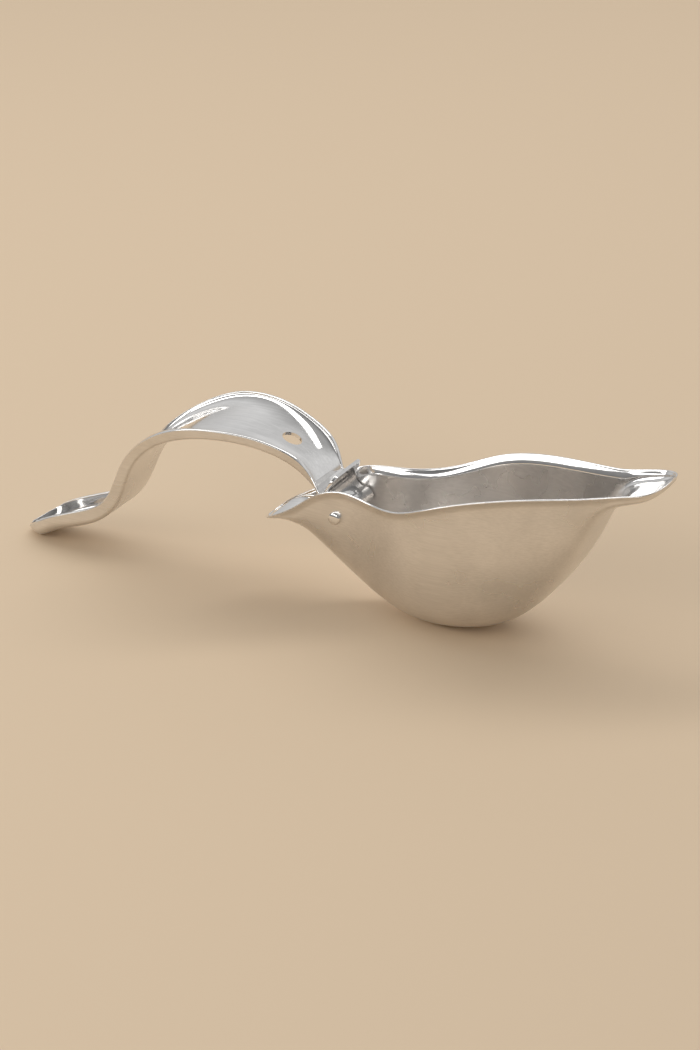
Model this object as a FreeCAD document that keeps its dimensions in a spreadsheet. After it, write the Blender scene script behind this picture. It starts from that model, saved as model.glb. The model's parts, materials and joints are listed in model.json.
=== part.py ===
"""Hinged lemon squeezer: a stamped boat-shaped bowl, a stamped press lever and the rivet that joins them.

Frame: +Z up, +X towards the spout, the open lever lies towards -X.
The part stands as it does when laid open on a table: on the bowl's round bottom and the lever's tip.
Origin: centre of the bounding box in plan, on the table.
All shape sizes are measured from the hinge axis, because both stampings are laid out from it.
"""
import FreeCAD, Part
import math
import os

from FreeCAD import Placement, Rotation, Vector

doc = FreeCAD.newDocument("lemon_squeezer")
sheet = doc.addObject("Spreadsheet::Sheet", "sizes")

# Single sizes in millimetres, and angles in degrees.
SIZES = {
    "bowl_sheet": 0.8,
    "lever_sheet": 1.0,
    "lip_flare": 1.3,
    "lip_flare_share": 0.08,
    "lip_height": 2.6,
    "lip_height_share": 0.4,
    "side_fullness": 0.75,
    "bottom_fullness": 0.74,
    "least_hollow": 0.15,
    "blank_top": 45.0,
    "rivet_radius": 1.6,
    "rivet_clearance": 0.05,
    "rivet_head_radius": 1.9,
    "rivet_head_height": 1.4,
    "rivet_seat": 9.9,
    "dome_share": 0.85,
    "reach": 40.0,
    "knuckle_side_gap": 0.6,
    "heel_bend": 3.2,
    "heel_height": 11.0,
    "heel_lean": 28.0,
    "heel_corner": 2.2,
    "hang_hole_radius": 3.0,
    "hang_hole_from_hinge": 19.5,
    "hang_hole_depth": 3.0,
}

# Bowl stations: distance along X, half width at the lip, lip height and keel height.
BOWL_STATIONS = {
    "tail_apex": (-26.1, 1.2, -6.9, -8.0),
    "tail_round": (-25.2, 4.8, -6.2, -7.7),
    "tail_end": (-23.2, 7.8, -4.9, -6.9),
    "tail_scoop": (-20.0, 9.5, -3.2, -6.0),
    "tail_middle": (-14.0, 10.3, 0.4, -7.0),
    "tail_root": (-7.0, 10.8, 5.6, -11.6),
    "hinge": (1.5, 11.4, 8.7, -18.5),
    "shoulder": (11.0, 14.0, 8.6, -24.3),
    "bowl_rear": (23.0, 19.1, 9.6, -28.1),
    "bowl_middle": (37.0, 21.7, 14.8, -28.4),
    "bowl_front": (52.0, 19.3, 18.6, -24.0),
    "bowl_nose": (65.0, 15.8, 20.4, -12.1),
    "spout_root": (76.0, 12.8, 21.6, 4.8),
    "spout_throat": (83.0, 11.5, 22.9, 17.2),
    "spout_middle": (89.0, 11.0, 24.2, 20.2),
    "spout_end": (93.5, 10.0, 25.1, 21.9),
    "spout_round": (96.6, 6.7, 26.1, 24.1),
    "spout_apex": (98.0, 1.2, 27.0, 26.4),
}

# Lever fold line: the underside of the web seen from the side, from the tip to the hinge.
FOLD_POINTS = {
    "fold_apex": (-108.6, -27.5),
    "fold_rest": (-104.0, -28.7),
    "fold_tab": (-91.0, -22.0),
    "fold_heel": (-79.5, -16.6),
    "fold_bend": (-72.6, -9.5),
    "fold_neck": (-67.8, 1.3),
    "fold_shoulder": (-56.3, 12.8),
    "fold_rise": (-44.0, 18.2),
    "fold_crest": (-33.0, 19.2),
    "fold_belly": (-21.0, 16.9),
    "fold_flank": (-13.0, 12.7),
    "fold_root": (-7.6, 7.0),
}

# Lever rim line: the free edge of the side walls seen from the side.
RIM_POINTS = {
    "rim_apex": (-108.6, -26.5),
    "rim_nose": (-103.0, -22.9),
    "rim_tab": (-92.0, -17.7),
    "rim_heel": (-81.0, -12.9),
    "rim_bend": (-75.9, -7.3),
    "rim_neck": (-71.4, 2.4),
    "rim_shoulder": (-60.2, 14.2),
    "rim_rise": (-46.0, 21.1),
    "rim_crest": (-33.0, 22.2),
    "rim_belly": (-20.5, 19.9),
    "rim_root": (-11.0, 14.9),
    "rim_end": (-6.9, 7.4),
}

# Lever outline in plan: distance from the hinge and half width.
OUTLINE_POINTS = {
    "plan_apex": (-108.7, 0.0),
    "plan_tip": (-107.8, 3.6),
    "plan_nose": (-105.0, 6.7),
    "plan_tab": (-98.0, 8.3),
    "plan_heel": (-82.0, 8.6),
    "plan_neck": (-72.0, 9.2),
    "plan_shoulder": (-60.0, 12.7),
    "plan_rise": (-47.0, 16.8),
    "plan_crest": (-36.0, 16.6),
    "plan_belly": (-22.0, 13.3),
    "plan_root": (-12.0, 10.5),
    "plan_end": (-6.0, 8.7),
}


# Points taken along a curve that is moved sideways.
OFFSET_STEPS = 48
# Two lengths this close count as the same.
TOLERANCE = 0.001
# Length of a rivet head's blank: it starts halfway into the wall.
HEAD_LENGTH = "sizes.bowl_sheet / 2 + sizes.rivet_head_height"
# The crown's edge on the cylinder of the head at -Y, and on the one at +Y.
NEAR_DOME_EDGE = 2
FAR_DOME_EDGE = 3


def fill_sheet():
    """Put every driving size in its own cell with its own alias."""
    cells = dict(SIZES)
    for name, (along, half_width, lip, keel) in BOWL_STATIONS.items():
        cells[name + "_along"] = along
        cells[name + "_half_width"] = half_width
        cells[name + "_lip"] = lip
        cells[name + "_keel"] = keel
    for points in (FOLD_POINTS, RIM_POINTS):
        for name, (along, height) in points.items():
            cells[name + "_along"] = along
            cells[name + "_height"] = height
    for name, (along, half_width) in OUTLINE_POINTS.items():
        cells[name + "_along"] = along
        cells[name + "_half_width"] = half_width
    for row, (alias, value) in enumerate(cells.items(), start=1):
        sheet.set("A%d" % row, alias)
        sheet.set("B%d" % row, str(value))
        sheet.setAlias("B%d" % row, alias)
    doc.recompute()


def size(alias):
    """Read one driving size back from the sheet."""
    return float(sheet.get(alias))


def side_points(names):
    """Points in the side view, from the sheet."""
    return [Vector(size(name + "_along"), 0, size(name + "_height")) for name in names]


def spline(points):
    """One smooth curve through the points."""
    curve = Part.BSplineCurve()
    curve.interpolate(points)
    return curve


def ends(curve):
    """First and last point of a curve."""
    return curve.value(curve.FirstParameter), curve.value(curve.LastParameter)


def moved_points(curve, turn, distance):
    """Points along a curve, moved by distance in the direction that turn makes of the tangent."""
    span = curve.LastParameter - curve.FirstParameter
    steps = [curve.FirstParameter + span * step / OFFSET_STEPS for step in range(OFFSET_STEPS + 1)]
    return [curve.value(at) + turn(curve.tangent(at)[0]) * distance for at in steps]


def polyline(points):
    """Straight edges from point to point."""
    return [Part.makeLine(a, b) for a, b in zip(points[:-1], points[1:])]


def extruded(edges, direction):
    """Close the edges to a face and extrude it."""
    wire = Part.Wire(Part.__sortEdges__(edges))
    return Part.Face(wire).extrude(direction)


def bowl_section(name, inset):
    """Cross section of the bowl's blank at one station, moved inwards by inset."""
    along = size(name + "_along")
    lip = size(name + "_lip")
    half_width = max(size(name + "_half_width") - inset, size("least_hollow"))
    keel = min(size(name + "_keel") + inset, lip - size("least_hollow"))
    neck = half_width - min(size("lip_flare"), half_width * size("lip_flare_share"))
    neck_height = lip - min(size("lip_height"), (lip - keel) * size("lip_height_share"))
    wall_end = neck_height - size("side_fullness") * (neck_height - keel)
    bottom_end = neck * size("bottom_fullness")
    top = size("blank_top")

    def at(across, height):
        return Vector(along, across, height)

    edges = []
    for sign in (-1, 1):
        wall = Part.BezierCurve()
        wall.setPoles([
            at(sign * neck, neck_height),
            at(sign * neck, wall_end),
            at(sign * bottom_end, keel),
            at(0, keel),
        ])
        upper = [at(sign * neck, neck_height), at(sign * half_width, lip), at(sign * half_width, top)]
        edges += [wall.toShape()] + polyline(upper)
    edges += polyline([at(-half_width, top), at(half_width, top)])
    return Part.Wire(Part.__sortEdges__(edges))


def bowl_blank(inset):
    """Solid through all the bowl's stations."""
    return Part.makeLoft([bowl_section(name, inset) for name in BOWL_STATIONS], True, False)


def below_lip():
    """Everything under the wavy lip line."""
    reach = size("reach")
    points = [Vector(size(name + "_along"), -reach, size(name + "_lip")) for name in BOWL_STATIONS]
    first, last = points[0], points[-1]
    start = first - Vector(reach, 0, 0)
    end = last + Vector(reach, 0, 0)
    low = Vector(0, 0, -2 * reach)
    edges = [spline(points).toShape()]
    edges += polyline([first, start, start + low, end + low, end, last])
    return extruded(edges, Vector(0, 2 * reach, 0))


def make_bowl_shell():
    """The stamped bowl with its tail scoop and pouring spout, one sheet thick."""
    trim = below_lip()
    outside = bowl_blank(0).common(trim)
    hollow = bowl_blank(size("bowl_sheet")).common(trim)
    return outside.cut(hollow)


def plan_prism(inset):
    """Lever outline in plan, moved inwards by inset, from far below to far above."""
    reach = size("reach")
    right = [Vector(size(name + "_along"), size(name + "_half_width"), -reach) for name in OUTLINE_POINTS]
    left = [Vector(point.x, -point.y, point.z) for point in right[:0:-1]]
    outline = spline(left + right)
    if inset:
        outline = spline(moved_points(outline, lambda tangent: Vector(tangent.y, -tangent.x, 0), inset))
    start, end = ends(outline)
    return extruded([outline.toShape()] + polyline([end, start]), Vector(0, 0, 2 * reach))


def knuckle_tangent():
    """Direction of the web as it runs from the end of the fold line onto the knuckle."""
    root = side_points(["fold_root"])[0]
    reach = math.hypot(root.x, root.z)
    return math.atan2(-root.z, -root.x) - math.asin(knuckle_outer() / reach)


def knuckle_inner():
    return size("rivet_radius") + size("rivet_clearance")


def knuckle_outer():
    return knuckle_inner() + size("lever_sheet")


def knuckle_half_width():
    """Half width of the knuckle, which turns between the bowl's walls with a gap on each side."""
    outside = size("hinge_half_width") - size("hinge_half_width") * size("lip_flare_share")
    return outside - size("bowl_sheet") - size("knuckle_side_gap")


def strip_side(radius, bend, start_offset):
    """One face of the strip that wraps the rivet and turns up as the heel, seen from the side.

    radius is the face's distance from the rivet axis, bend its radius where the heel turns up.
    """
    heading = knuckle_tangent()
    travel = Vector(math.cos(heading), 0, math.sin(heading))
    touch = Vector(radius * math.sin(heading), 0, -radius * math.cos(heading))
    root = side_points(["fold_root"])[0]
    start = root + Vector(-travel.z, 0, travel.x) * start_offset - travel * size("lever_sheet")
    bottom = Vector(radius * math.cos(heading / 2), 0, radius * math.sin(heading / 2))
    top = Vector(0, 0, radius)
    lean = math.radians(size("heel_lean"))
    centre = Vector(0, 0, radius + bend)
    halfway = (1.5 * math.pi + math.pi - lean) / 2
    middle = centre + Vector(bend * math.cos(halfway), 0, bend * math.sin(halfway))
    upright = centre + Vector(-bend * math.cos(lean), 0, bend * math.sin(lean))
    rise = (size("heel_height") - upright.z) / math.cos(lean)
    tip = upright + Vector(rise * math.sin(lean), 0, rise * math.cos(lean))
    edges = [
        Part.makeLine(start, touch),
        Part.Arc(touch, bottom, top).toShape(),
        Part.Arc(top, middle, upright).toShape(),
        Part.makeLine(upright, tip),
    ]
    return edges, start, tip


def heel_block(half):
    """Block as wide as the strip and as high as the heel, with the heel's two rounded corners."""
    reach = size("reach")
    top = size("heel_height")
    block = Part.makeBox(2 * reach, 2 * half, reach + top, Vector(-reach, -half, -reach))
    corner_edges = []
    for edge in block.Edges:
        box = edge.BoundBox
        if box.XLength > TOLERANCE and abs(box.ZMin - top) < TOLERANCE:
            corner_edges.append(edge)
    return block.makeFillet(size("heel_corner"), corner_edges)


def make_strip():
    """The rolled knuckle and its heel plate."""
    outer, outer_start, outer_tip = strip_side(knuckle_outer(), size("heel_bend"), 0)
    inner_bend = size("heel_bend") + size("lever_sheet")
    inner, inner_start, inner_tip = strip_side(knuckle_inner(), inner_bend, size("lever_sheet"))
    edges = outer + inner + polyline([outer_start, inner_start]) + polyline([outer_tip, inner_tip])
    half = knuckle_half_width()
    strip = extruded([edge.translated(Vector(0, -half, 0)) for edge in edges], Vector(0, 2 * half, 0))
    return strip.common(heel_block(half))


def make_lever_stamping():
    """Thumb tab, neck and belly as one trough, with the knuckle strip at its end."""
    reach = size("reach")
    aside = Vector(0, -reach, 0)
    across = Vector(0, 2 * reach, 0)
    fold = spline(side_points(FOLD_POINTS))
    rim = spline(side_points(RIM_POINTS))
    fold_start, fold_end = ends(fold)
    rim_start, rim_end = ends(rim)
    blank_edges = [fold.toShape(), rim.toShape()]
    blank_edges += polyline([fold_start, rim_start]) + polyline([fold_end, rim_end])
    blank = extruded([edge.translated(aside) for edge in blank_edges], across)
    blank = blank.common(plan_prism(0))

    web_sheet = size("lever_sheet")
    web_top = spline(moved_points(fold, lambda tangent: Vector(-tangent.z, 0, tangent.x), web_sheet))
    top_start, top_end = ends(web_top)
    beyond = Vector(reach, 0, top_end.z)
    high = Vector(0, 0, 2 * reach)
    trough_edges = [web_top.toShape()]
    trough_edges += polyline([top_end, beyond, beyond + high, top_start + high, top_start])
    trough = extruded([edge.translated(aside) for edge in trough_edges], across)
    trough = trough.common(plan_prism(size("lever_sheet")))
    return blank.cut(trough).fuse(make_strip()).removeSplitter()


def check(obj):
    """Stop when an object failed or holds no valid solid."""
    if "Invalid" in obj.State or "Error" in obj.State:
        raise RuntimeError(obj.Label + " failed: " + ", ".join(obj.State))
    if obj.TypeId.startswith("Spreadsheet"):
        return
    if obj.Shape.isNull() or not obj.Shape.isValid():
        raise RuntimeError(obj.Label + " has no valid shape")


def bind(obj, bindings):
    """Tie properties to cells of the sheet."""
    for prop, formula in bindings.items():
        obj.setExpression(prop, formula)


def cylinder_across(name, radius, start, length):
    """Cylinder along Y, at the hinge axis, from start."""
    obj = doc.addObject("Part::Cylinder", name)
    obj.Placement = Placement(Vector(0, 0, 0), Rotation(Vector(1, 0, 0), -90))
    bind(obj, {"Radius": radius, "Height": length, "Placement.Base.y": start})
    return obj


def make_bowl(shell):
    """The bowl stamping with its rivet hole through both walls."""
    bowl = doc.addObject("Part::Cut", "bowl_body")
    bowl.Base = shell
    bowl.Tool = cylinder_across("rivet_hole", "sizes.rivet_radius", "-sizes.reach", "2 * sizes.reach")
    return bowl


def hang_hole_frame():
    """Centre of the hanging hole on the web's middle surface, and the web's normal there."""
    fold = spline(side_points(FOLD_POINTS))
    below = Vector(-size("hang_hole_from_hinge"), 0, -size("reach"))
    above = Vector(below.x, 0, size("reach"))
    foot = fold.toShape().distToShape(Part.makeLine(below, above))[1][0][0]
    tangent = fold.tangent(fold.parameter(foot))[0]
    normal = Vector(-tangent.z, 0, tangent.x)
    return foot + normal * (size("lever_sheet") / 2), normal


def make_lever():
    """The lever stamping with its hanging hole."""
    stamping = doc.addObject("Part::Feature", "lever_stamping")
    stamping.Shape = make_lever_stamping()
    centre, normal = hang_hole_frame()
    hole = doc.addObject("Part::Cylinder", "hang_hole")
    bind(hole, {"Radius": "sizes.hang_hole_radius", "Height": "2 * sizes.hang_hole_depth"})
    hole.Placement = Placement(centre - normal * size("hang_hole_depth"), Rotation(Vector(0, 0, 1), normal))
    lever = doc.addObject("Part::Cut", "press_lever")
    lever.Base = stamping
    lever.Tool = hole
    return lever


def make_rivet_head(side, start, dome_edge):
    """One domed head, from inside the wall to its crown."""
    blank = cylinder_across("head_blank_" + side, "sizes.rivet_head_radius", start, HEAD_LENGTH)
    doc.recompute()
    head = doc.addObject("Part::Fillet", "rivet_head_" + side)
    head.Base = blank
    dome = size("rivet_head_height") * size("dome_share")
    head.Edges = [(dome_edge, dome, dome)]
    return head


def make_rivet(shell):
    """A solid rivet: a shank through both walls, and a domed head drawn tight on each wall."""
    heads = doc.addObject("Part::MultiFuse", "rivet_heads")
    heads.Shapes = [
        make_rivet_head("near", "-sizes.rivet_seat - (" + HEAD_LENGTH + ")", NEAR_DOME_EDGE),
        make_rivet_head("far", "sizes.rivet_seat", FAR_DOME_EDGE),
    ]
    seated = doc.addObject("Part::Cut", "seated_heads")
    seated.Base = heads
    seated.Tool = shell
    shank_end = "(sizes.rivet_seat + sizes.bowl_sheet / 2)"
    shank = cylinder_across("rivet_shank", "sizes.rivet_radius", "-" + shank_end, "2 * " + shank_end)
    rivet = doc.addObject("Part::MultiFuse", "hinge_rivet")
    rivet.Shapes = [shank, seated]
    return rivet


fill_sheet()
bowl_shell = doc.addObject("Part::Feature", "bowl_shell")
bowl_shell.Shape = make_bowl_shell()
nodes = [make_bowl(bowl_shell), make_lever(), make_rivet(bowl_shell)]
doc.recompute()

boxes = [node.Shape.optimalBoundingBox() for node in nodes]
tip = min(box.XMin for box in boxes)
spout = max(box.XMax for box in boxes)
table = min(box.ZMin for box in boxes)
hinge = Vector(-(tip + spout) / 2, 0, -table)
for node in nodes:
    node.Placement = Placement(hinge, Rotation())
doc.recompute()

for obj in doc.Objects:
    check(obj)
os.makedirs("parts", exist_ok=True)
for node in nodes:
    node.Shape.exportStep("parts/" + node.Label + ".step")
    print(node.Label, "%.1f mm3" % node.Shape.Volume, node.Shape.optimalBoundingBox())
hole_centre, hole_normal = hang_hole_frame()
print("hinge axis", hinge)
print("hanging hole", hole_centre + hinge, hole_normal)
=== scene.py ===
"""Looks of the hinged lemon squeezer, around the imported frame.

Shapes are laid out in millimetres from the hinge axis, as the stampings are, and built in metres in the
row frame.
"""

import json
import math

import bmesh
import bpy
import numpy as np
from mathutils import Matrix, Vector


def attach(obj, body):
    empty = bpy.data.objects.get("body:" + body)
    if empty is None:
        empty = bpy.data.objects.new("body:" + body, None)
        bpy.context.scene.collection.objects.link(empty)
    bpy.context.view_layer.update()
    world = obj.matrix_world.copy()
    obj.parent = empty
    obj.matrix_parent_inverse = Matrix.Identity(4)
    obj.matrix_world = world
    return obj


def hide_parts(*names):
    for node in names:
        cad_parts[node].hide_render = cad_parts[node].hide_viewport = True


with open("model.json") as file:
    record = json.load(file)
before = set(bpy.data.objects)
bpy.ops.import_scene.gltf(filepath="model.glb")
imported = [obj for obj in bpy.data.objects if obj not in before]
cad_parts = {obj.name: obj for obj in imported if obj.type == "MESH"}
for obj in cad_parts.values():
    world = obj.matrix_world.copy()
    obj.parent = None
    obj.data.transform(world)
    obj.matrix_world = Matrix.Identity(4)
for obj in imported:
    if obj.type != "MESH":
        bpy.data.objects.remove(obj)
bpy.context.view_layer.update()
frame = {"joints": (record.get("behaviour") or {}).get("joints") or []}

MM = 0.001
HINGE = Vector(frame["joints"][0]["pos_m"])
# Shortest length that a direction is taken from.
TINY = 1e-9
# Points nearer than this are merged, and shorter edges than this are dropped, in metres.
MERGE_DISTANCE = 0.00001
EMPTY_EDGE = 0.000005
SHARP_ANGLE = math.radians(50)
# Material slots of a sheet.
OUTSIDE, INSIDE, EDGE = range(3)

BOWL_SHEET = 0.8
LEVER_SHEET = 1.0
# How far the rounded edge of each sheet bulges past its flat sides.
EDGE_BULGE = 0.3
EDGE_STEPS = 7
# The inside never comes nearer to the outside than this share of the sheet, at the lip and at the keel.
LEAST_LIP_SHARE = 0.4
LEAST_KEEL_SHARE = 0.5
# Stations mirrored past an end, so that the curves round it smoothly.
MIRRORED = 3

# Bowl stations: distance along X, half width at the lip, lip height and keel height.
BOWL_STATIONS = [
    (-26.1, 0.0, -7.0, -7.05),
    (-25.8, 3.3, -6.7, -7.0),
    (-24.9, 5.9, -6.0, -6.7),
    (-23.2, 8.0, -4.9, -6.2),
    (-20.0, 9.5, -3.2, -5.4),
    (-14.0, 10.3, 0.4, -6.4),
    (-7.0, 10.8, 5.6, -11.6),
    (1.5, 11.4, 8.7, -18.5),
    (11.0, 14.0, 8.6, -24.3),
    (23.0, 19.1, 9.6, -28.1),
    (37.0, 21.7, 14.8, -28.4),
    (52.0, 19.3, 18.6, -24.0),
    (65.0, 15.8, 20.4, -12.1),
    (76.0, 12.8, 21.6, 4.8),
    (83.0, 11.5, 22.9, 17.2),
    (89.0, 11.0, 24.2, 20.2),
    (93.5, 10.0, 25.1, 21.9),
    (96.4, 7.2, 26.0, 23.9),
    (97.6, 4.0, 26.6, 25.3),
    (98.0, 0.0, 26.9, 26.8),
]
BOWL_ROWS = 340
# Columns of half a section: down the flare of the lip, then round to the keel.
FLARE_STEPS = 8
HULL_STEPS = 40
SIDE_FULLNESS = 0.75
BOTTOM_FULLNESS = 0.74
# The lip's flare, and the share of the half width and of the depth that it takes at most.
LIP_FLARE = 1.3
LIP_FLARE_SHARE = 0.08
LIP_HEIGHT = 2.6
LIP_HEIGHT_SHARE = 0.4
FLARE_POWER = 1.6
LEAST_HOLLOW = 0.15
# The inside is polished behind and ahead of these places along X, and in the flare of the lip.
POLISHED_TAIL = -4.0
POLISHED_SPOUT = 80.0

# Lever stations from the tip to the hinge: the fold line, then the rim line, both seen from the side.
FOLD_LINE = [
    (-108.6, -27.2), (-104.0, -28.1), (-97.0, -25.2), (-91.0, -22.6), (-79.5, -17.2), (-72.6, -9.6),
    (-67.8, 1.3), (-56.3, 12.8), (-44.0, 18.2), (-33.0, 19.2), (-21.0, 16.9), (-13.0, 12.7), (-7.6, 7.0),
]
RIM_LINE = [
    (-108.6, -26.3), (-103.0, -22.9), (-97.4, -19.8), (-92.0, -17.6), (-81.0, -12.9), (-75.9, -7.3),
    (-71.4, 2.4), (-60.2, 14.2), (-46.0, 21.1), (-33.0, 22.2), (-20.5, 19.9), (-11.0, 14.9), (-6.9, 7.4),
]
FOLD_SAMPLES = 2000
# Lever outline in plan: distance from the hinge and half width.
OUTLINE = [
    (-108.7, 0.0), (-107.8, 3.6), (-105.0, 6.7), (-98.0, 8.3), (-82.0, 8.6), (-72.0, 9.2),
    (-60.0, 12.7), (-47.0, 16.8), (-36.0, 16.6), (-22.0, 13.3), (-12.0, 10.4), (-6.0, 8.3),
]
OUTLINE_SAMPLES = 1600
LEVER_ROWS = 280
# How much the rows crowd towards the tip and the hinge, from 0 to 1.
END_CROWDING = 0.5
# Columns of half a section: down the wall, round the fold and along the web.
WALL_STEPS = 10
FOLD_STEPS = 18
WEB_STEPS = 14
# Largest share of the wall and of the web that the fold takes.
LARGEST_FOLD = 0.95
# A shallower trough than this, near the tip, is left out.
LEAST_TROUGH = 0.05
# Fold between web and walls along the lever: distance from the hinge, the outer fold's radius,
# and how far the inner fillet reaches across the web and up the wall.
FOLD_SHAPES = [
    (-109.0, 4.0, 2.4, 1.6),
    (-98.5, 4.0, 2.0, 1.4),
    (-94.0, 3.2, 1.2, 1.2),
    (-82.0, 1.6, 1.4, 1.4),
    (-70.0, 1.0, 3.5, 2.2),
    (-55.0, 1.0, 7.0, 3.0),
    (-30.0, 1.0, 8.4, 3.4),
    (-14.0, 1.0, 6.4, 3.0),
    (-8.0, 1.0, 2.8, 1.8),
]
BRIDGE_STEPS = 10
KNUCKLE_RADIUS = 2.65
KNUCKLE_STEPS = 40
KNUCKLE_SIDE_GAP = 0.6
# Place of the bowl station beside the hinge in the list.
HINGE_STATION = 7
HEEL_BEND = 3.2
HEEL_BEND_STEPS = 24
HEEL_HEIGHT = 11.0
HEEL_STEPS = 6
HEEL_LEAN = math.radians(28.0)
HEEL_CORNER = 2.2
HEEL_CORNER_STEPS = 14
HOLE_RADIUS = 3.0
HOLE_FROM_HINGE = 19.5
HOLE_SEGMENTS = 96
PUNCH_LENGTH = 4

RIVET_RADIUS = 1.6
RIVET_HEAD_RADIUS = 1.9
RIVET_SEAT = 10.0
RIVET_END = 11.65
RIVET_TURNS = 64
# Domed head: radius, and depth below the rivet's end.
RIVET_DOME = [(0, 0), (0.7, 0.05), (1.2, 0.17), (1.6, 0.36), (1.83, 0.58), (RIVET_HEAD_RADIUS, 0.75)]

# Steel: how many times longer than wide a streak is, and the depth of the grain in metres.
STREAK_STRETCH = 40
NOISE_DETAIL = 3.0
GRAIN_DEPTH = 0.00003
# Part of the noise that the roughness follows, and how far the roughness and the colour swing.
NOISE_RANGE = (0.3, 0.7)
ROUGHNESS_SWING = (0.85, 1.2)
COLOR_SWING = (0.9, 1.08)
STREAK_WEIGHT = 0.6
TINT_START = 0.55

# World: height of the bright band and of the dimmer top, and its colours.
BAND_HEIGHT = 0.42
TOP_HEIGHT = 0.75
HORIZON_COLOR = (0.55, 0.54, 0.53, 1)
BAND_COLOR = (0.74, 0.74, 0.74, 1)
TOP_COLOR = (0.42, 0.42, 0.42, 1)
# World strength on the camera's side and beyond the object, and where along Y it changes.
SIDE_RANGE = (-0.7, 0.5)
SIDE_STRENGTH = (0.4, 1.0)
FLOOR_COLOR = (0.76, 0.59, 0.41, 1)
FLOOR_ROUGHNESS = 0.7
FLOOR_HALF_SIZE = 3
LAMP_COLOR = (1, 0.99, 0.97)

# Photograph: pixels, focal length in pixels, angles in degrees, and millimetres from the hinge.
PHOTO_HEIGHT = 1050
FOCAL_LENGTH = 3340
SENSOR = 36.0
CAMERA_PITCH = 23.7
CAMERA_YAW = 27.1
CAMERA_DISTANCE = 954.3
AIM_FROM_HINGE = (37.0, 0.0, -28.1)
AIM_PIXEL = (467, 619)
CENTRE_PIXEL = (350, 525)
CLIP_START = 0.01


def natural_spline(knots, values):
    """Cubic spline through values at knots, free at its ends, as a function of the knot."""
    knots = np.asarray(knots, float)
    values = np.asarray(values, float)
    count = len(knots)
    step = np.diff(knots)
    slope = np.diff(values, axis=0) / step[:, None]
    system = np.eye(count)
    right = np.zeros_like(values)
    for i in range(1, count - 1):
        system[i, i - 1:i + 2] = step[i - 1], 2 * (step[i - 1] + step[i]), step[i]
        right[i] = 6 * (slope[i] - slope[i - 1])
    bend = np.linalg.solve(system, right)

    def at(position):
        position = np.asarray(position, float)
        i = np.clip(np.searchsorted(knots, position, side="right") - 1, 0, count - 2)
        ahead = (knots[i + 1] - position)[:, None]
        behind = (position - knots[i])[:, None]
        width = step[i][:, None]
        curve = (bend[i] * ahead ** 3 + bend[i + 1] * behind ** 3) / (6 * width)
        line = (values[i] / width - bend[i] * width / 6) * ahead
        return curve + line + (values[i + 1] / width - bend[i + 1] * width / 6) * behind

    return at


def chord(points):
    """Distance along the points."""
    points = np.asarray(points, float)
    return np.concatenate([[0], np.cumsum(np.linalg.norm(np.diff(points, axis=0), axis=1))])


def left_normal(path):
    """Unit vectors square to a plane path, to the left of its direction."""
    tangent = np.gradient(path, axis=0)
    tangent /= np.maximum(np.linalg.norm(tangent, axis=1), TINY)[:, None]
    return np.stack([-tangent[:, 1], tangent[:, 0]], axis=1)


def narrowed(x, width, inset):
    """Half width of the outline moved inwards by inset, at the same x, and 0 past its ends."""
    order = np.argsort(x)
    path = np.stack([x[order], width[order]], axis=1)
    moved = path - left_normal(path) * inset
    inside = np.interp(x, moved[:, 0], moved[:, 1], left=0, right=0)
    return np.clip(inside, 0, np.maximum(width - LEAST_LIP_SHARE * inset, 0))


def to_row(x, y, z):
    """Millimetres from the hinge to metres in the row frame."""
    return np.stack(np.broadcast_arrays(x * MM + HINGE.x, y * MM, z * MM + HINGE.z), axis=-1)


def grid_object(name, points, closed):
    """Mesh over a grid of points in the row frame. A closed grid joins its last column to its first."""
    rows, columns, _ = points.shape
    mesh = bpy.data.meshes.new(name)
    spans = columns if closed else columns - 1
    faces = []
    for row in range(rows - 1):
        for column in range(spans):
            start = row * columns
            after = (column + 1) % columns
            faces.append((start + column, start + after, start + columns + after, start + columns + column))
    mesh.from_pydata([tuple(point) for point in points.reshape(-1, 3)], [], faces)
    obj = bpy.data.objects.new(name, mesh)
    bpy.context.scene.collection.objects.link(obj)
    return obj


def clean(obj):
    """Merge points that lie together, drop the faces that this empties and turn all faces outwards."""
    bm = bmesh.new()
    bm.from_mesh(obj.data)
    bmesh.ops.remove_doubles(bm, verts=bm.verts, dist=MERGE_DISTANCE)
    bmesh.ops.dissolve_degenerate(bm, edges=bm.edges, dist=EMPTY_EDGE)
    bmesh.ops.recalc_face_normals(bm, faces=bm.faces)
    bm.to_mesh(obj.data)
    bm.free()
    obj.data.shade_smooth()


def apply_modifiers(obj):
    """Bake the modifier stack into the mesh."""
    bpy.context.view_layer.update()
    graph = bpy.context.evaluated_depsgraph_get()
    mesh = bpy.data.meshes.new_from_object(obj.evaluated_get(graph))
    obj.modifiers.clear()
    obj.data = mesh


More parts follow.
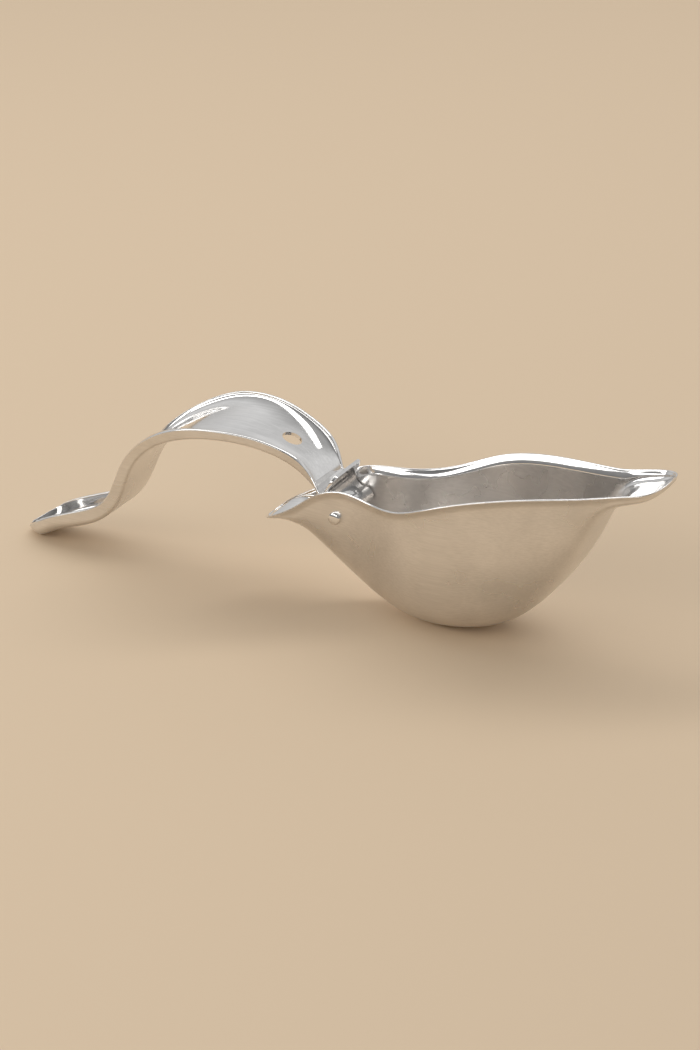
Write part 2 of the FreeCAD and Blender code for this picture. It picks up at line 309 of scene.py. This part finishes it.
def sheet_object(name, outer, inner, bulge, cap_end, materials, polished_outside, polished_inside):
    """Closed sheet metal part from its two faces, given from edge to edge, with rounded edges.

    bulge is the direction in which each row's edge is rounded, on the +Y side. materials are those of the
    outer face, the inner face and the edges. Where polished_outside or polished_inside holds, by row and
    column, that face has the finish of the edges.
    """
    mirror = np.array([1, -1, 1])
    arcs = []
    for column, away in ((-1, bulge * mirror), (0, bulge)):
        middle = (outer[:, column] + inner[:, column]) / 2
        half = outer[:, column] - middle
        turn = np.linspace(0, math.pi, EDGE_STEPS + 2)[1:-1, None, None]
        arc = middle + half * np.cos(turn) + away * EDGE_BULGE * MM * np.sin(turn)
        arcs.append(arc.transpose(1, 0, 2))
    ring = np.concatenate([outer, arcs[0], inner[:, ::-1], arcs[1][:, ::-1]], axis=1)
    obj = grid_object(name, ring, True)
    for material in materials:
        obj.data.materials.append(material)
    columns = ring.shape[1]
    across = outer.shape[1]
    inner_start = across + EDGE_STEPS
    slots = np.full((ring.shape[0] - 1, columns), EDGE)
    slots[:, :across - 1] = np.where(polished_outside, EDGE, OUTSIDE)
    slots[:, inner_start:inner_start + across - 1] = np.where(polished_inside, EDGE, INSIDE)
    obj.data.polygons.foreach_set("material_index", slots.ravel().astype(np.int32))
    if cap_end:
        bm = bmesh.new()
        bm.from_mesh(obj.data)
        bm.verts.ensure_lookup_table()
        last = len(bm.verts) - columns
        for column in range(across - 1):
            far = last + inner_start + across - 1 - column
            face = bm.faces.new([bm.verts[i] for i in (last + column, last + column + 1, far - 1, far)])
            face.material_index = EDGE
        for first in (across - 1, inner_start + across - 1):
            corners = [bm.verts[last + (first + i) % columns] for i in range(EDGE_STEPS + 2)]
            bm.faces.new(corners).material_index = EDGE
        bm.to_mesh(obj.data)
        bm.free()
    clean(obj)
    return obj


def section_columns(neck, neck_height, half_width, lip, keel):
    """Half of a bowl section, from the lip down to the keel, as pairs of half widths and heights."""
    columns = []
    for share in np.linspace(1, 0, FLARE_STEPS + 1)[:-1]:
        across = neck + (half_width - neck) * share ** FLARE_POWER
        columns.append((across, neck_height + (lip - neck_height) * share))
    wall_end = neck_height - SIDE_FULLNESS * (neck_height - keel)
    for share in np.linspace(0, 1, HULL_STEPS):
        left = 1 - share
        weights = left ** 3, 3 * share * left ** 2, 3 * share ** 2 * left
        across = neck * (weights[0] + weights[1] + BOTTOM_FULLNESS * weights[2])
        height = neck_height * weights[0] + wall_end * weights[1] + keel * (weights[2] + share ** 3)
        columns.append((across, height))
    return columns


def both_sides(x, columns):
    """Points from the +Y edge to the -Y edge, from the columns of one half."""
    half = [to_row(x, across, height) for across, height in columns]
    other = [to_row(x, -across, height) for across, height in columns[-2::-1]]
    return np.stack(half + other, axis=1)


def bowl_faces():
    """Outer and inner face of the bowl."""
    stations = np.array(BOWL_STATIONS)
    mirror = np.array([1, -1, 1, 1])
    before = stations[MIRRORED:0:-1] * mirror
    after = stations[-2:-2 - MIRRORED:-1] * mirror
    extended = np.concatenate([before, stations, after])
    knots = chord(extended)
    steps = np.linspace(knots[MIRRORED], knots[-1 - MIRRORED], BOWL_ROWS)
    x, half_width, lip, keel = natural_spline(knots, extended)(steps).T
    half_width = np.maximum(half_width, 0)
    half_width[[0, -1]] = 0
    edge = lip - EDGE_BULGE
    keel = np.minimum(keel, edge)
    faces = []
    for inset in (0, BOWL_SHEET):
        width = narrowed(x, half_width, inset) if inset else half_width
        level = keel
        if inset:
            path = np.stack([x, keel], axis=1)
            moved = path + left_normal(path) * inset
            level = np.minimum(np.interp(x, moved[:, 0], moved[:, 1]), edge - LEAST_HOLLOW)
            level = np.where(width > 0, np.maximum(level, keel + LEAST_KEEL_SHARE * inset), edge)
            level = np.minimum(level, edge)
        neck = width - np.minimum(LIP_FLARE, width * LIP_FLARE_SHARE)
        neck_height = edge - np.minimum(LIP_HEIGHT, (edge - level) * LIP_HEIGHT_SHARE)
        faces.append(both_sides(x, section_columns(neck, neck_height, width, edge, level)))
    bulge = np.tile([0.0, 0.0, 1.0], (len(x), 1))
    return faces[0], faces[1], bulge


def knuckle_half_width():
    """Half width of the knuckle, which turns between the bowl's walls with a gap on each side."""
    outside = BOWL_STATIONS[HINGE_STATION][1] * (1 - LIP_FLARE_SHARE)
    return outside - BOWL_SHEET - KNUCKLE_SIDE_GAP


def knuckle_path():
    """Outer face of the strip round the rivet and up the heel plate: side view points and half widths."""
    root = np.array(FOLD_LINE[-1])
    heading = math.atan2(-root[1], -root[0]) - math.asin(KNUCKLE_RADIUS / np.linalg.norm(root))
    points = []
    for angle in np.linspace(heading - math.pi / 2, math.pi / 2, KNUCKLE_STEPS):
        points.append((KNUCKLE_RADIUS * math.cos(angle), KNUCKLE_RADIUS * math.sin(angle)))
    centre = KNUCKLE_RADIUS + HEEL_BEND
    for angle in np.linspace(1.5 * math.pi, math.pi - HEEL_LEAN, HEEL_BEND_STEPS)[1:]:
        points.append((HEEL_BEND * math.cos(angle), centre + HEEL_BEND * math.sin(angle)))
    start = np.array(points[-1])
    rise = (HEEL_HEIGHT - start[1]) / math.cos(HEEL_LEAN)
    tangent = np.array([math.sin(HEEL_LEAN), math.cos(HEEL_LEAN)])
    widths = [knuckle_half_width()] * len(points)
    straight = max(rise - HEEL_CORNER, 0)
    for share in np.linspace(0, 1, HEEL_STEPS)[1:]:
        points.append(tuple(start + tangent * straight * share))
        widths.append(knuckle_half_width())
    for angle in np.linspace(0, math.pi / 2, HEEL_CORNER_STEPS)[1:]:
        points.append(tuple(start + tangent * (straight + HEEL_CORNER * math.sin(angle))))
        widths.append(knuckle_half_width() - HEEL_CORNER * (1 - math.cos(angle)))
    return np.array(points), np.array(widths)


def lever_outline(x, inset):
    """Half width of the lever's outline, moved inwards by inset."""
    outline = np.array(OUTLINE)
    mirrored = np.concatenate([outline[MIRRORED:0:-1] * (1, -1), outline])
    knots = chord(mirrored)
    dense = natural_spline(knots, mirrored)(np.linspace(0, knots[-1], OUTLINE_SAMPLES))
    moved = dense - left_normal(dense) * inset
    moved = moved[moved[:, 1] >= 0]
    order = np.argsort(moved[:, 0])
    return np.interp(x, moved[order, 0], moved[order, 1], left=0)


def lever_columns(base, edge, up, width, across, high):
    """Half of each lever section: down the wall, round the fold and along the web to the middle."""
    height = np.maximum(np.sum((edge - base) * up, axis=1), 0)
    high = np.minimum(high, LARGEST_FOLD * height)
    across = np.minimum(across, LARGEST_FOLD * width)
    columns = []
    for share in np.linspace(1, 0, WALL_STEPS):
        columns.append((base + up * (high + (height - high) * share)[:, None], width))
    for angle in np.linspace(0, math.pi / 2, FOLD_STEPS)[1:]:
        point = base + up * (high * (1 - math.sin(angle)))[:, None]
        columns.append((point, width - across * (1 - math.cos(angle))))
    point, web = columns[-1]
    for share in np.linspace(1, 0, WEB_STEPS)[1:]:
        columns.append((point, web * share))
    half = [to_row(point[:, 0], y, point[:, 1]) for point, y in columns]
    other = [to_row(point[:, 0], -y, point[:, 1]) for point, y in columns[-2::-1]]
    return np.stack(half + other, axis=1)


def lever_faces():
    """Outer and inner face of the lever: a trough from the tab to the hinge, the knuckle and the heel."""
    knots = chord(FOLD_LINE)
    steps = np.linspace(0, 1, LEVER_ROWS)
    steps = (1 - END_CROWDING) * steps + END_CROWDING * (1 - np.cos(steps * math.pi)) / 2
    steps *= knots[-1]
    fold = natural_spline(knots, FOLD_LINE)(steps)
    rim = natural_spline(knots, RIM_LINE)(steps)
    strip, strip_width = knuckle_path()
    run = np.linspace(0, 1, BRIDGE_STEPS)[1:-1, None]
    bridge = fold[-1] + (strip[0] - fold[-1]) * run
    root_width = lever_outline(fold[-1:, 0], 0)[0]
    bridge_width = root_width + (knuckle_half_width() - root_width) * run[:, 0]
    strip = np.concatenate([bridge, strip])
    strip_width = np.concatenate([bridge_width, strip_width])
    path = np.concatenate([fold, strip])
    normal = left_normal(path)
    count = len(fold)

    height = np.linalg.norm(rim - fold, axis=1)
    up = normal.copy()
    up[:count] = (rim - fold) / height[:, None]
    edge = path.copy()
    edge[:count] = rim - up[:count] * EDGE_BULGE
    x, outer_radius, across, high = np.array(FOLD_SHAPES).T
    outer_radius = np.interp(path[:, 0], x, outer_radius)
    outer_width = np.concatenate([lever_outline(fold[:, 0], 0), strip_width - EDGE_BULGE])
    outer_width[0] = 0
    outer = lever_columns(path, edge, up, outer_width, outer_radius, outer_radius)

    web = path + normal * LEVER_SHEET
    inner_width = np.concatenate([lever_outline(rim[:, 0], LEVER_SHEET), strip_width - EDGE_BULGE])
    level = np.sum((web - edge) * up, axis=1)
    over = inner_width <= 0
    over[:count] |= level[:count] > -LEAST_TROUGH
    over[count:] = False
    base = np.where(over[:, None], edge, web)
    inner_edge = np.where(np.arange(len(path))[:, None] < count, edge, web)
    inner = lever_columns(base, inner_edge, up, inner_width,
                          np.interp(path[:, 0], x, across), np.interp(path[:, 0], x, high))
    bulge = np.stack([up[:, 0], np.zeros(len(path)), up[:, 1]], axis=1)
    bulge[count:] = (0, 1, 0)
    return outer, inner, bulge


def hang_hole_frame():
    """Centre of the hanging hole on the web's middle surface and the web's normal, in the side view."""
    knots = chord(FOLD_LINE)
    path = natural_spline(knots, FOLD_LINE)(np.linspace(0, knots[-1], FOLD_SAMPLES))
    foot = np.argmin(np.abs(path[:, 0] + HOLE_FROM_HINGE))
    normal = left_normal(path)[foot]
    return path[foot] + normal * LEVER_SHEET / 2, normal


def node_material(name):
    """New material with its nodes, its links and its shader."""
    material = bpy.data.materials.new(name)
    material.use_nodes = True
    nodes = material.node_tree.nodes
    return material, nodes, material.node_tree.links, nodes["Principled BSDF"]


def noise(nodes, links, vector, scale):
    """Noise texture over a vector."""
    texture = nodes.new("ShaderNodeTexNoise")
    texture.inputs["Scale"].default_value = scale
    texture.inputs["Detail"].default_value = NOISE_DETAIL
    links.new(vector, texture.inputs["Vector"])
    return texture.outputs["Fac"]


def steel(name, color, roughness, grain, blotch_count, bump_strength, anisotropy):
    """Brushed steel: fine streaks along X in colour and height, and soft blotches in colour and roughness.

    grain is the number of streaks to a metre, blotch_count the number of blotches to a metre.
    """
    material, nodes, links, shader = node_material(name)
    shader.inputs["Metallic"].default_value = 1.0
    shader.inputs["Anisotropic"].default_value = anisotropy
    coordinates = nodes.new("ShaderNodeTexCoord")
    stretch = nodes.new("ShaderNodeMapping")
    stretch.inputs["Scale"].default_value = (grain / STREAK_STRETCH, grain, grain)
    links.new(coordinates.outputs["Object"], stretch.inputs["Vector"])
    streaks = noise(nodes, links, stretch.outputs["Vector"], 1.0)
    blotches = noise(nodes, links, coordinates.outputs["Object"], blotch_count)

    rough = nodes.new("ShaderNodeMapRange")
    rough.inputs["From Min"].default_value, rough.inputs["From Max"].default_value = NOISE_RANGE
    rough.inputs["To Min"].default_value = roughness * ROUGHNESS_SWING[0]
    rough.inputs["To Max"].default_value = roughness * ROUGHNESS_SWING[1]
    links.new(blotches, rough.inputs["Value"])
    links.new(rough.outputs["Result"], shader.inputs["Roughness"])

    mixed = nodes.new("ShaderNodeMath")
    mixed.operation = "MULTIPLY_ADD"
    links.new(streaks, mixed.inputs[0])
    mixed.inputs[1].default_value = STREAK_WEIGHT
    links.new(blotches, mixed.inputs[2])
    tint = nodes.new("ShaderNodeValToRGB")
    for stop, swing in zip(tint.color_ramp.elements, COLOR_SWING):
        stop.color = tuple(min(channel * swing, 1) for channel in color) + (1,)
    tint.color_ramp.elements[0].position = TINT_START
    links.new(mixed.outputs["Value"], tint.inputs["Fac"])
    links.new(tint.outputs["Color"], shader.inputs["Base Color"])

    bump = nodes.new("ShaderNodeBump")
    bump.inputs["Strength"].default_value = bump_strength
    bump.inputs["Distance"].default_value = GRAIN_DEPTH
    links.new(streaks, bump.inputs["Height"])
    links.new(bump.outputs["Normal"], shader.inputs["Normal"])
    return material


def make_rivet(material):
    """Pin with a low domed head at each end, turned about the hinge axis."""
    profile = [(radius, RIVET_END - depth) for radius, depth in RIVET_DOME]
    profile += [(RIVET_HEAD_RADIUS, RIVET_SEAT), (RIVET_RADIUS, RIVET_SEAT), (RIVET_RADIUS, 0)]
    profile += [(radius, -along) for radius, along in profile[-2::-1]]
    turns = np.linspace(0, 2 * math.pi, RIVET_TURNS + 1)
    radius, along = np.array(profile).T
    x = radius[:, None] * np.cos(turns)
    z = radius[:, None] * np.sin(turns)
    y = np.repeat(along[:, None], len(turns), axis=1)
    rivet = grid_object("rivet", to_row(x, y, z), False)
    rivet.data.materials.append(material)
    clean(rivet)
    return rivet


def cut_hole(obj, material):
    """Punch the hanging hole through the web."""
    centre, normal = hang_hole_frame()
    bm = bmesh.new()
    matrix = Vector((normal[0], 0, normal[1])).to_track_quat("Z", "Y").to_matrix().to_4x4()
    matrix.translation = Vector((centre[0] * MM, 0, centre[1] * MM)) + HINGE
    radius = HOLE_RADIUS * MM
    bmesh.ops.create_cone(bm, cap_ends=True, segments=HOLE_SEGMENTS, radius1=radius, radius2=radius,
                          depth=PUNCH_LENGTH * MM, matrix=matrix)
    mesh = bpy.data.meshes.new("punch")
    bm.to_mesh(mesh)
    bm.free()
    mesh.materials.append(material)
    punch = bpy.data.objects.new("punch", mesh)
    bpy.context.scene.collection.objects.link(punch)
    cut = obj.modifiers.new("hole", "BOOLEAN")
    cut.operation = "DIFFERENCE"
    cut.solver = "EXACT"
    cut.object = punch
    cut.material_mode = "TRANSFER"
    apply_modifiers(obj)
    bpy.data.objects.remove(punch)


def make_camera():
    """Camera at the photograph's place."""
    pitch = math.radians(CAMERA_PITCH)
    yaw = math.radians(CAMERA_YAW)
    right = Vector((math.cos(yaw), math.sin(yaw), 0))
    level = Vector((-math.sin(yaw), math.cos(yaw), 0))
    view = math.cos(pitch) * level - math.sin(pitch) * Vector((0, 0, 1))
    up = math.sin(pitch) * level + math.cos(pitch) * Vector((0, 0, 1))
    aside = (AIM_PIXEL[0] - CENTRE_PIXEL[0]) / FOCAL_LENGTH
    below = (AIM_PIXEL[1] - CENTRE_PIXEL[1]) / FOCAL_LENGTH
    aim = Vector(AIM_FROM_HINGE) * MM + HINGE
    place = aim - CAMERA_DISTANCE * MM * (view + aside * right - below * up)
    data = bpy.data.cameras.new("camera")
    data.sensor_width = SENSOR
    data.lens = FOCAL_LENGTH / PHOTO_HEIGHT * SENSOR
    data.clip_start = CLIP_START
    camera = bpy.data.objects.new("camera", data)
    matrix = Matrix((right, up, -view)).transposed().to_4x4()
    matrix.translation = place
    camera.matrix_world = matrix
    bpy.context.scene.collection.objects.link(camera)
    bpy.context.scene.camera = camera


def area_light(name, place, width, height, power, color):
    """Rectangular lamp that faces the object."""
    data = bpy.data.lights.new(name, "AREA")
    data.shape = "RECTANGLE"
    data.size = width
    data.size_y = height
    data.energy = power
    data.color = color
    light = bpy.data.objects.new(name, data)
    light.location = place
    light.rotation_euler = (-Vector(place)).to_track_quat("-Z", "Y").to_euler()
    bpy.context.scene.collection.objects.link(light)


def make_world():
    """Pale studio: brightest in a band above the horizon, and dimmer on the camera's side."""
    world = bpy.data.worlds.new("studio")
    world.use_nodes = True
    nodes = world.node_tree.nodes
    links = world.node_tree.links
    coordinates = nodes.new("ShaderNodeTexCoord")
    parts = nodes.new("ShaderNodeSeparateXYZ")
    links.new(coordinates.outputs["Generated"], parts.inputs["Vector"])
    sky = nodes.new("ShaderNodeValToRGB")
    sky.color_ramp.elements[0].color = HORIZON_COLOR
    sky.color_ramp.elements[1].color = TOP_COLOR
    sky.color_ramp.elements[1].position = TOP_HEIGHT
    sky.color_ramp.elements.new(BAND_HEIGHT).color = BAND_COLOR
    links.new(parts.outputs["Z"], sky.inputs["Fac"])
    side = nodes.new("ShaderNodeMapRange")
    side.interpolation_type = "SMOOTHSTEP"
    side.inputs["From Min"].default_value, side.inputs["From Max"].default_value = SIDE_RANGE
    side.inputs["To Min"].default_value, side.inputs["To Max"].default_value = SIDE_STRENGTH
    links.new(parts.outputs["Y"], side.inputs["Value"])
    background = nodes["Background"]
    links.new(sky.outputs["Color"], background.inputs["Color"])
    links.new(side.outputs["Result"], background.inputs["Strength"])
    bpy.context.scene.world = world


def make_floor():
    """Plain pale floor."""
    material, _, _, shader = node_material("floor")
    shader.inputs["Base Color"].default_value = FLOOR_COLOR
    shader.inputs["Roughness"].default_value = FLOOR_ROUGHNESS
    bm = bmesh.new()
    bmesh.ops.create_grid(bm, x_segments=1, y_segments=1, size=FLOOR_HALF_SIZE)
    mesh = bpy.data.meshes.new("floor")
    bm.to_mesh(mesh)
    bm.free()
    mesh.materials.append(material)
    floor = bpy.data.objects.new("floor", mesh)
    bpy.context.scene.collection.objects.link(floor)


bpy.context.scene.view_settings.view_transform = "Standard"

satin = steel("steel_satin", (0.78, 0.76, 0.74), roughness=0.30, grain=2600, blotch_count=60,
              bump_strength=0.12, anisotropy=0.3)
bowl_inside = steel("steel_inside", (0.82, 0.79, 0.76), roughness=0.28, grain=1600, blotch_count=70,
                    bump_strength=0.12, anisotropy=0.2)
mirror = steel("steel_mirror", (0.80, 0.79, 0.78), roughness=0.09, grain=1200, blotch_count=90,
               bump_strength=0.03, anisotropy=0.0)

outer, inner, bulge = bowl_faces()
along = (inner[:-1, :1, 0] - HINGE.x) / MM
strips = np.arange(inner.shape[1] - 1)
in_flare = np.minimum(strips, strips[::-1]) < FLARE_STEPS
polished = (along < POLISHED_TAIL) | (along > POLISHED_SPOUT) | in_flare
bowl = sheet_object("bowl", outer, inner, bulge, False, [satin, bowl_inside, mirror], False, polished)
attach(bowl, "bowl")
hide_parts("bowl_body")

outer, inner, bulge = lever_faces()
in_strip = np.arange(len(outer) - 1)[:, None] >= LEVER_ROWS
lever = sheet_object("lever", outer, inner, bulge, True, [satin, mirror, mirror], in_strip, False)
cut_hole(lever, mirror)
lever.data.set_sharp_from_angle(angle=SHARP_ANGLE)
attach(lever, "lever")
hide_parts("press_lever")

rivet = make_rivet(mirror)
rivet.data.set_sharp_from_angle(angle=SHARP_ANGLE)
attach(rivet, "bowl")
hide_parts("hinge_rivet")

make_camera()
make_world()
make_floor()
area_light("overhead", (-0.40, 0.50, 1.15), width=2.6, height=0.30, power=9, color=LAMP_COLOR)
area_light("window", (-0.55, -1.15, 0.82), width=2.4, height=0.45, power=10, color=LAMP_COLOR)
